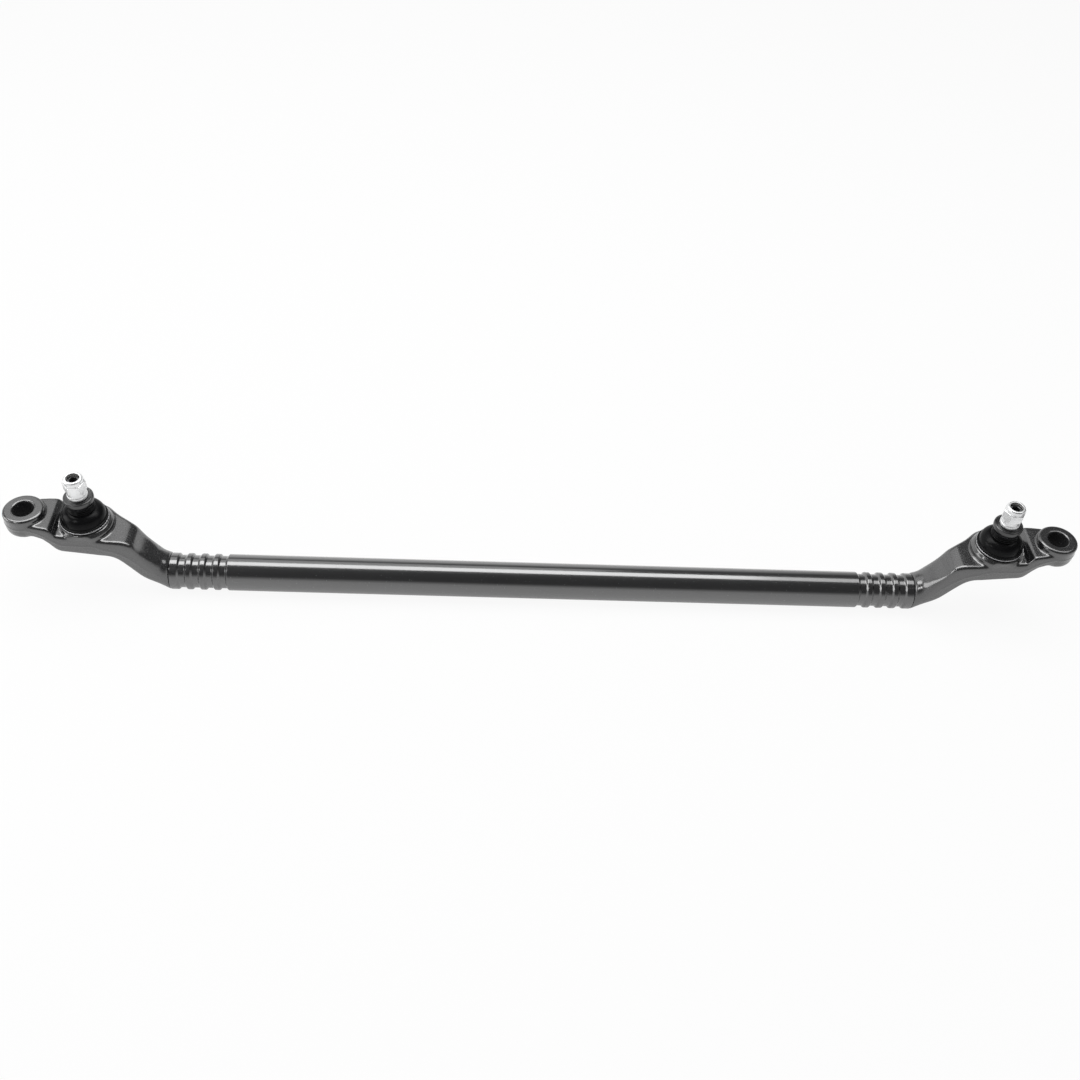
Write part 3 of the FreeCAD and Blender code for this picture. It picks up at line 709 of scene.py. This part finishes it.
def stud_piece(side, settings, material):
    """Ball stud: ball, neck, flare and taper turned about the axis, a thread whose radius follows a
    triangle wave of height and angle, and a hexagonal recess in the end."""
    node = side + "_ball_stud"
    low, high = span(node)
    columns = 144
    angle = np.linspace(0, 2 * math.pi, columns, endpoint=False)
    ball = settings.ball_r
    ball_z = low[2] + ball
    neck = settings.stud_neck_r
    lift = np.linspace(-math.pi / 2, math.acos(neck / ball), 42)[1:]
    sphere = np.stack([ball * np.cos(lift), ball_z + ball * np.sin(lift)], -1)
    thread_low = settings.thread_z
    taper_top = settings.taper_r - (thread_low - settings.taper_z) * settings.taper_rate / 2
    shaft = rounded([
        (neck, ball_z + ball * 0.95, 0.1 * MM),
        (neck, settings.taper_z - 1.5 * MM, 0.5 * MM),
        (settings.taper_r, settings.taper_z, 0.3 * MM),
        (taper_top, thread_low, 0.2 * MM),
        (settings.thread_r, thread_low + 0.05 * MM, 0.2 * MM),
    ], 5)[2:]
    end = high[2]
    z = np.linspace(thread_low + 0.4 * MM, end - 0.9 * MM, 130)
    wave = (z[:, None] / settings.thread_pitch - angle[None, :] / (2 * math.pi)) % 1.0
    depth = 0.6 * settings.thread_pitch * (1 - np.abs(2 * wave - 1))
    thread = settings.thread_r - depth
    recess = hex_radius(angle, settings.key_across / 2, 0, 60)
    flat = rounded([
        (settings.thread_r - 0.75 * MM, end - 0.8 * MM, 0.05 * MM),
        (settings.thread_r - 0.95 * MM, end, 0.25 * MM),
    ], 4)
    rim = np.stack([recess + 0.35 * MM, recess, recess, recess * 0.9])
    rim_z = end - np.array([0.0, 0.35, 4.6, 5.0]) * MM
    parts = [sphere, shaft]
    radius = np.concatenate(
        [np.broadcast_to(p[:, :1], (len(p), columns)) for p in parts]
        + [thread, np.broadcast_to(flat[:, :1], (len(flat), columns)), rim])
    height = np.concatenate([p[:, 1] for p in parts] + [z, flat[:, 1], rim_z])
    centre = socket_centre(side)
    points = turned_points(radius, height, centre, columns)
    count = len(points)
    poles = [[centre[0], centre[1], low[2]], [centre[0], centre[1], end - 5.6 * MM]]
    faces = [
        grid_faces(len(height), columns, False),
        pole_faces(0, columns, count, False),
        pole_faces(count - columns, columns, count + 1, True),
    ]
    points = np.concatenate([points, np.array(poles)])
    name, rides = side + "_stud_steel", side + "_stud"
    return new_piece(name, points, faces, rides, material, [node], HARD_CREASE)


def carry_over(node, material):
    """A CAD node that stays as it is, with its finish."""
    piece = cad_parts[node]
    piece.data.materials.clear()
    piece.data.materials.append(material)


# Stage

def floor_material(settings):
    """White floor that the camera and reflections see as nearly plain white, with a soft shadow."""
    f = Finish("floor white")
    f.set(Base_Color=shade(settings.floor), Roughness=0.9, Specular_IOR_Level=0.0)
    glow = f.add("Emission", {}, {"Color": (1.0, 1.0, 1.0, 1.0), "Strength": 1.0})
    share = f.ray("Is Camera Ray") * settings.floor_seen + f.ray("Is Glossy Ray") * settings.floor_mirrored
    lit = Reading(f, f.shader.outputs[0])
    mixed = f.add("MixShader", {}, {0: share, 1: lit, 2: glow})
    f.feed(f.tree.nodes["Material Output"].inputs["Surface"], mixed)
    return f.material


def studio_world(settings):
    """Plain fill for surfaces, white for the camera, and for reflections a dark room with a pale
    band low in front, and another behind on the left."""
    world = bpy.data.worlds.new("studio")
    bpy.context.scene.world = world
    world.use_nodes = True
    f = NodeWork(world.node_tree)
    direction = f.add("TexCoord", {}, {}, "Generated")
    across, depth, height = (f.add("SeparateXYZ", {}, {0: direction}, axis) for axis in "XYZ")
    rear = depth.above(-0.1, 0.4) * (1 - across.above(0.1, 0.5)) * (1 - height.above(0.25, 0.55))
    front = (1 - depth.above(-0.3, 0.0)) * (1 - height.above(0.02, 0.42))
    pale = rear.math("MAXIMUM", front)
    room = settings.room_level + pale * (settings.rear_level - settings.room_level)
    plain = settings.fill_level + f.ray("Is Glossy Ray") * (room - settings.fill_level)
    back = f.tree.nodes["Background"]
    f.feed(back.inputs["Color"], (1.0, 1.0, 1.0, 1.0))
    f.feed(back.inputs["Strength"], plain + f.ray("Is Camera Ray") * (1.0 - plain))


class Lamp(NamedTuple):
    """A rectangular lamp, in metres. It has a share of one level of the stage's settings, and shows in
    the gloss, lights the surfaces, or both."""
    name: str
    place: tuple
    target: tuple
    width: float
    length: float
    level: str
    share: float
    seen_by: str


LAMPS = (
    Lamp("overhead", (0.0, 0.2, 1.4), (0.0, 0.0, 0.0), 1.2, 1.6, "overhead_level", 1.0, "surface"),
    Lamp("strip", (-0.35, 0.29, 1.0), (-0.35, 0.0, 0.0), 0.46, 1.5, "strip_level", 1.0, "gloss"),
    Lamp("strip end", (0.75, 0.29, 1.0), (0.75, 0.0, 0.0), 0.46, 0.7, "strip_level", 0.5, "gloss"),
    Lamp("rear panel", (-0.5, 0.86, 0.96), (-0.3, 0.0, 0.0), 0.5, 1.4, "rear_panel_level", 1.0, "both"),
    Lamp("left wall", (-1.5, -0.05, 0.5), (0.0, 0.0, 0.0), 0.7, 0.7, "left_level", 1.0, "both"),
    Lamp("front key", (-0.85, -0.5, 0.85), (-0.2, 0.0, 0.0), 0.22, 0.22, "key_level", 1.0, "both"),
)


def stand(thing, right, up, back, place):
    """Puts a lamp or a camera at a place, with its back to one direction."""
    turn = np.eye(4)
    turn[:3] = np.stack([right, up, back, place], -1)
    thing.matrix_world = Matrix(turn.tolist())
    bpy.context.scene.collection.objects.link(thing)


def softbox(lamp, brightness):
    """Makes one lamp. Its power is the brightness times pi times its area, so that a brightness of 1
    is a surface a little darker than plain white."""
    data = bpy.data.lights.new(lamp.name, "AREA")
    data.shape = "RECTANGLE"
    data.size = lamp.length
    data.size_y = lamp.width
    data.energy = brightness * math.pi * lamp.width * lamp.length
    light = bpy.data.objects.new(lamp.name, data)
    back = unit(np.array(lamp.place) - np.array(lamp.target))
    across = unit(np.cross([0.0, 1.0, 0.0], back))
    stand(light, across, np.cross(back, across), back, lamp.place)
    light.visible_camera = False
    light.visible_diffuse = lamp.seen_by != "gloss"
    light.visible_glossy = lamp.seen_by != "surface"


def photo_camera(settings):
    """Camera at an azimuth, elevation and distance from a point of the object, rolled and moved
    sideways in its own plane."""
    az, el, roll = settings.azimuth, settings.elevation, settings.roll
    back = np.array([math.sin(az) * math.cos(el), -math.cos(az) * math.cos(el), math.sin(el)])
    right = unit(np.cross(-back, [0, 0, 1]))
    up = np.cross(right, -back)
    level_right, level_up = right, up
    right = level_right * math.cos(roll) + level_up * math.sin(roll)
    up = level_up * math.cos(roll) - level_right * math.sin(roll)
    place = back * settings.distance + right * settings.slide + up * settings.lift
    data = bpy.data.cameras.new("photo camera")
    data.sensor_width = 36.0
    data.lens = settings.lens
    camera = bpy.data.objects.new("photo camera", data)
    stand(camera, right, up, back, place)
    bpy.context.scene.camera = camera


# Settings

def length(name, description, default, low=0.0):
    kind = {"unit": "LENGTH", "precision": 5}
    return FloatProperty(name=name, description=description, default=default, min=low, **kind)


def level(name, description, default, high=10.0):
    kind = {"min": 0.0, "max": high, "subtype": "FACTOR"}
    return FloatProperty(name=name, description=description, default=default, **kind)


def shift(name, description, default):
    return FloatProperty(name=name, description=description, default=default, unit="LENGTH")


def ratio(name, description, default):
    return FloatProperty(name=name, description=description, default=default)


def count(name, description, default, low=1):
    return IntProperty(name=name, description=description, default=default, min=low)


def degrees(name, description, default):
    turn = math.radians(default)
    return FloatProperty(name=name, description=description, default=turn, subtype="ANGLE")


def tint(name, description, default):
    return FloatVectorProperty(name=name, description=description, default=default, subtype="COLOR")


class LinkTubeSettings(PropertyGroup):
    wall: length("Wall", "Thickness of the tube's wall", 2.8 * MM)
    crimp_count: count("Crimps", "Grooves at each end", 4)
    crimp_first: length("First crimp", "From the tube's end to the first groove", 9 * MM)
    crimp_pitch: length("Crimp pitch", "From groove to groove", 10 * MM)
    crimp_width: length("Crimp width", "Width of one groove", 7.4 * MM)
    crimp_flank: length("Crimp flank", "Length over which a groove's side rises", 1.9 * MM)
    crimp_depth: length("Crimp depth", "Depth of one groove", 1.45 * MM)
    end_round: length("End rounding", "Rounding of the tube's ends", 0.7 * MM)
    columns: count("Columns", "Points round the tube", 160, 24)


class LinkArmSettings(PropertyGroup):
    voxel: length("Skin size", "Size of the skin's quads", 0.62 * MM, 0.2 * MM)
    merge: length("Merge", "Distance under which points are one", 0.001 * MM)
    relax_passes: count("Relaxing", "Passes that round the edges", 9, 0)
    flash_height: length("Flash", "Height of the ridge where the dies met", 0.3 * MM)
    flash_width: length("Flash width", "Half width of the ridge", 0.7 * MM)
    flash_step: length("Flash step", "Step along the arm in which the ridge is placed", 1.5 * MM)
    flash_start: length("Flash start", "Place along the arm where the ridge begins", 288 * MM)
    flash_rise: length("Flash rise", "Length over which the ridge comes up", 12 * MM)
    flash_side: length("Flash side", "Distance from the middle past which a face is an outer side", 9 * MM)
    eye_x: length("Eye", "Distance of the eyes from the middle", 374 * MM)
    eye_y: length("Eye offset", "Offset of the eyes to the rear", 1.6 * MM)
    eye_inner: length("Eye wall", "Radius inside which the eye has no ridge", 11 * MM)
    bore_r: length("Bore", "Radius of the eye's bare bore", 7.9 * MM)
    left_grain: level("Left grain", "Grit under the left arm's paint", 1.0, 2.0)
    right_grain: level("Right grain", "Grit under the right arm's paint", 0.8, 2.0)
    cover_grain: level("Cover grain", "Grit under the paint of the socket covers", 0.2, 2.0)


class LinkJointSettings(PropertyGroup):
    boot_wall: length("Boot wall", "Thickness of the rubber", 1.5 * MM)
    lip_height: length("Lip height", "Height of the boot's lip", 3.4 * MM)
    neck_r: length("Housing neck", "Radius that the boot grips", 14.66 * MM)
    bell_r: length("Bell", "Radius of the boot above its lip", 15.5 * MM)
    groove_half: length("Lip groove", "Half width of the lip ring's groove", 0.62 * MM)
    groove_depth: length("Groove depth", "Depth of the lip ring's groove", 0.5 * MM)
    rib_count: count("Ribs", "Ribs on the boot's neck", 3)
    rib_pitch: length("Rib pitch", "From rib to rib", 1.75 * MM)
    rib_depth: length("Rib depth", "Depth between ribs", 0.7 * MM)
    bend_clear: length("Bend", "From the lowest rib down to where the bell starts to bend", 1.2 * MM)
    garter_stand: length("Garter stand", "From the ribs' crests out to the garter's outside", 0.3 * MM)
    garter_turns: count("Garter turns", "Turns of the garter spring", 64, 8)
    ball_r: length("Ball", "Radius of the ball", 9.75 * MM)
    stud_neck_r: length("Stud neck", "Radius between ball and taper", 5.8 * MM)
    taper_r: length("Taper", "Largest radius of the stud's taper", 7.5 * MM)
    taper_z: length("Taper height", "Height of the taper's large end", 58.5 * MM)
    taper_rate: ratio("Taper rate", "Loss of diameter per length", 1 / 8)
    thread_r: length("Thread", "Radius of the thread's crest", 5.0 * MM)
    thread_z: length("Thread start", "Height where the thread starts", 72.85 * MM)
    thread_pitch: length("Thread pitch", "From crest to crest", 1.25 * MM)
    key_across: length("Key", "Across the flats of the recess", 5.0 * MM)
    nut_across: length("Nut", "Across the flats of the nut", 14.0 * MM)
    nut_foot: length("Nut foot", "Height of the nut's round foot", 2.8 * MM)
    nut_foot_r: length("Foot radius", "Radius of the nut's foot", 7.2 * MM)
    nut_neck: length("Nut neck", "Height between foot and hexagon", 3.6 * MM)
    nut_neck_r: length("Neck radius", "Radius between foot and hexagon", 6.6 * MM)
    nut_crown: length("Crown", "Height of the nut's crown", 3.6 * MM)
    nut_crown_r: length("Crown radius", "Radius of the nut's crown", 6.8 * MM)
    nut_mouth_r: length("Mouth", "Radius of the crown's opening", 4.7 * MM)
    nut_chamfer: degrees("Chamfer", "Angle of the hexagon's chamfers", 30.0)
    left_nut_turn: degrees("Left nut turn", "Turn of the left nut on its stud", 8.0)
    right_nut_turn: degrees("Right nut turn", "Turn of the right nut on its stud", -1.0)


class LinkFinishSettings(PropertyGroup):
    paint: tint("Paint", "Black of the paint", (0.011, 0.011, 0.012))
    dust: tint("Dust", "Grey of specks and rub marks", (0.16, 0.16, 0.165))
    rubber: tint("Rubber", "Black of the rubber", (0.006, 0.006, 0.0065))
    zinc: tint("Zinc", "Plating of the nuts", (0.94, 0.945, 0.95))
    steel: tint("Steel", "Bare steel of the studs", (0.16, 0.16, 0.165))
    garter: tint("Garter", "Wire of the garter springs", (0.06, 0.06, 0.065))
    ring: tint("Lip ring", "Wire of the lip rings", (0.45, 0.45, 0.46))
    spring: tint("Spring", "Steel of the pressure springs", (0.3, 0.3, 0.31))
    seat: tint("Seat", "Plastic of the bearing seats", (0.8, 0.78, 0.7))
    nylon: tint("Nylon", "Plastic of the nuts' inserts", (0.7, 0.7, 0.68))
    coat_roughness: level("Coat roughness", "Blur of the paint's gloss", 0.13, 1.0)
    forging_roughness: level("Forging gloss", "Blur of the gloss on the forgings", 0.17, 1.0)
    coat_ior: ratio("Coat index", "Refraction of the paint's gloss", 2.1)


class LinkStageSettings(PropertyGroup):
    azimuth: degrees("Azimuth", "Camera's turn from the front", -3.73)
    elevation: degrees("Elevation", "Camera's angle over the floor", 46.57)
    roll: degrees("Roll", "Camera's turn about its own axis", 4.38)
    distance: length("Distance", "From the tube's middle to the camera", 922.14 * MM)
    slide: shift("Slide", "Camera's shift to its right", -4.38 * MM)
    lift: shift("Lift", "Camera's shift upwards", 30.94 * MM)
    lens: ratio("Lens", "Focal length in millimetres", 36 * 1220 / 1080)
    floor_size: length("Floor", "From the middle of the floor to its edges", 6.0)
    floor: tint("Floor colour", "White of the floor", (0.93, 0.93, 0.93))
    floor_seen: level("Floor seen", "Share of plain white that the camera sees in the floor", 0.92, 1.0)
    floor_mirrored: level("Floor mirrored", "Share of plain white that the gloss sees in it", 0.5, 1.0)
    fill_level: level("Fill", "Even light on surfaces", 0.15)
    room_level: level("Room", "Dark part of the room that the gloss shows", 0.1)
    rear_level: level("Pale bands", "Bands low in front and behind that the gloss shows", 1.0)
    overhead_level: level("Overhead", "Level of the wide lamp that lights the surfaces", 2.8)
    strip_level: level("Strip", "Level of the long lamp that the gloss shows overhead", 4.6)
    rear_panel_level: level("Rear panel", "Level of the lamp behind on the left", 1.0)
    left_level: level("Left wall", "Level of the lamp at the left", 3.2)
    key_level: level("Key", "Level of the small lamp in front on the left", 8.0)


# Operators

class LINK_OT_tube(Operator):
    """Make the crimped tube"""
    bl_idname = "link.tube"
    bl_label = "Tube"
    bl_options = {"REGISTER", "UNDO"}

    def execute(self, context):
        scene = context.scene
        tube_piece(scene.link_tube, tube_paint(scene.link_finish))
        return {"FINISHED"}


class LINK_OT_arms(Operator):
    """Make the two forged arms"""
    bl_idname = "link.arms"
    bl_label = "Forged arms"
    bl_options = {"REGISTER", "UNDO"}

    def execute(self, context):
        scene = context.scene
        arms = scene.link_arms
        for side, way, grain in zip(SIDES, (-1, 1), (arms.left_grain, arms.right_grain)):
            bore = ((way * arms.eye_x, arms.eye_y), arms.bore_r)
            paint = arm_paint(side + " arm paint", scene.link_finish, grain, bore)
            arm_piece(side, arms, paint)
        return {"FINISHED"}


class LINK_OT_boots(Operator):
    """Make the rubber boots with their rings"""
    bl_idname = "link.boots"
    bl_label = "Boots and rings"
    bl_options = {"REGISTER", "UNDO"}

    def execute(self, context):
        joint, finish = context.scene.link_joint, context.scene.link_finish
        rubber = boot_rubber(finish)
        hard = ring_rubber(finish)
        wire = plated_steel("dark wire", finish.garter, 0.3, 0.02 * MM)
        band = plated_steel("bright wire", finish.ring, 0.35, 0.02 * MM)
        for side in SIDES:
            boot_piece(side, joint, rubber)
            seal_piece(side, joint, hard)
            clamp_piece(side, band)
            garter_piece(side, joint, wire)
        return {"FINISHED"}


class LINK_OT_studs(Operator):
    """Make the ball studs and their lock nuts"""
    bl_idname = "link.studs"
    bl_label = "Studs and nuts"
    bl_options = {"REGISTER", "UNDO"}

    def execute(self, context):
        joint, finish = context.scene.link_joint, context.scene.link_finish
        steel = plated_steel("stud steel", finish.steel, 0.3, 0.03 * MM)
        zinc = plated_steel("nut zinc", finish.zinc, 0.26, 0.04 * MM, 0.8)
        for side in SIDES:
            stud_piece(side, joint, steel)
            nut_piece(side, joint, zinc)
        return {"FINISHED"}


class LINK_OT_inner(Operator):
    """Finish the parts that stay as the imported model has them"""
    bl_idname = "link.inner"
    bl_label = "Inner parts"
    bl_options = {"REGISTER", "UNDO"}

    def execute(self, context):
        scene = context.scene
        finish = scene.link_finish
        seat = moulded_plastic("seat acetal", finish.seat, 0.35)
        nylon = moulded_plastic("insert nylon", finish.nylon, 0.4)
        spring = plated_steel("spring steel", finish.spring, 0.35, 0.03 * MM)
        cover = arm_paint("cover paint", finish, scene.link_arms.cover_grain)
        for side in SIDES:
            carry_over(side + "_lower_seat", seat)
            carry_over(side + "_upper_seat", seat)
            carry_over(side + "_pressure_spring", spring)
            carry_over(side + "_socket_cover", cover)
            carry_over(side + "_nut_insert", nylon)
        return {"FINISHED"}


class LINK_OT_stage(Operator):
    """Make the floor, the lamps, the room and the camera"""
    bl_idname = "link.stage"
    bl_label = "Stage"
    bl_options = {"REGISTER", "UNDO"}

    def execute(self, context):
        scene = context.scene
        stage = scene.link_stage
        scene.view_settings.view_transform = "Standard"
        around = np.array([[-1, -1, 0], [1, -1, 0], [1, 1, 0], [-1, 1, 0]])
        corners = around * stage.floor_size + [0, 0, CAD_BOX[0][2]]
        mesh = bpy.data.meshes.new("floor")
        mesh.from_pydata(corners.tolist(), [], [[0, 1, 2, 3]])
        mesh.materials.append(floor_material(stage))
        floor = bpy.data.objects.new("floor", mesh)
        scene.collection.objects.link(floor)
        studio_world(stage)
        for lamp in LAMPS:
            softbox(lamp, lamp.share * getattr(stage, lamp.level))
        photo_camera(stage)
        return {"FINISHED"}


class LINK_PT_panel(Panel):
    """Lists the pieces and their settings"""
    bl_idname = "LINK_PT_panel"
    bl_label = "Steering center link"
    bl_space_type = "VIEW_3D"
    bl_region_type = "UI"
    bl_category = "Center Link"

    def draw(self, context):
        for operator in OPERATORS:
            self.layout.operator(operator.bl_idname)
        for name, kind in SETTINGS.items():
            box = self.layout.box()
            for key in kind.__annotations__:
                box.prop(getattr(context.scene, name), key)


SETTINGS = {
    "link_tube": LinkTubeSettings,
    "link_arms": LinkArmSettings,
    "link_joint": LinkJointSettings,
    "link_finish": LinkFinishSettings,
    "link_stage": LinkStageSettings,
}
OPERATORS = (LINK_OT_tube, LINK_OT_arms, LINK_OT_boots, LINK_OT_studs, LINK_OT_inner, LINK_OT_stage)


def register():
    for kind in (*SETTINGS.values(), *OPERATORS, LINK_PT_panel):
        bpy.utils.register_class(kind)
    for name, kind in SETTINGS.items():
        setattr(bpy.types.Scene, name, PointerProperty(type=kind))


def unregister():
    for name in SETTINGS:
        delattr(bpy.types.Scene, name)
    for kind in reversed((*SETTINGS.values(), *OPERATORS, LINK_PT_panel)):
        bpy.utils.unregister_class(kind)


def main():
    register()
    bpy.ops.link.tube()
    bpy.ops.link.arms()
    bpy.ops.link.boots()
    bpy.ops.link.studs()
    bpy.ops.link.inner()
    bpy.ops.link.stage()


if __name__ == "__main__":
    main()
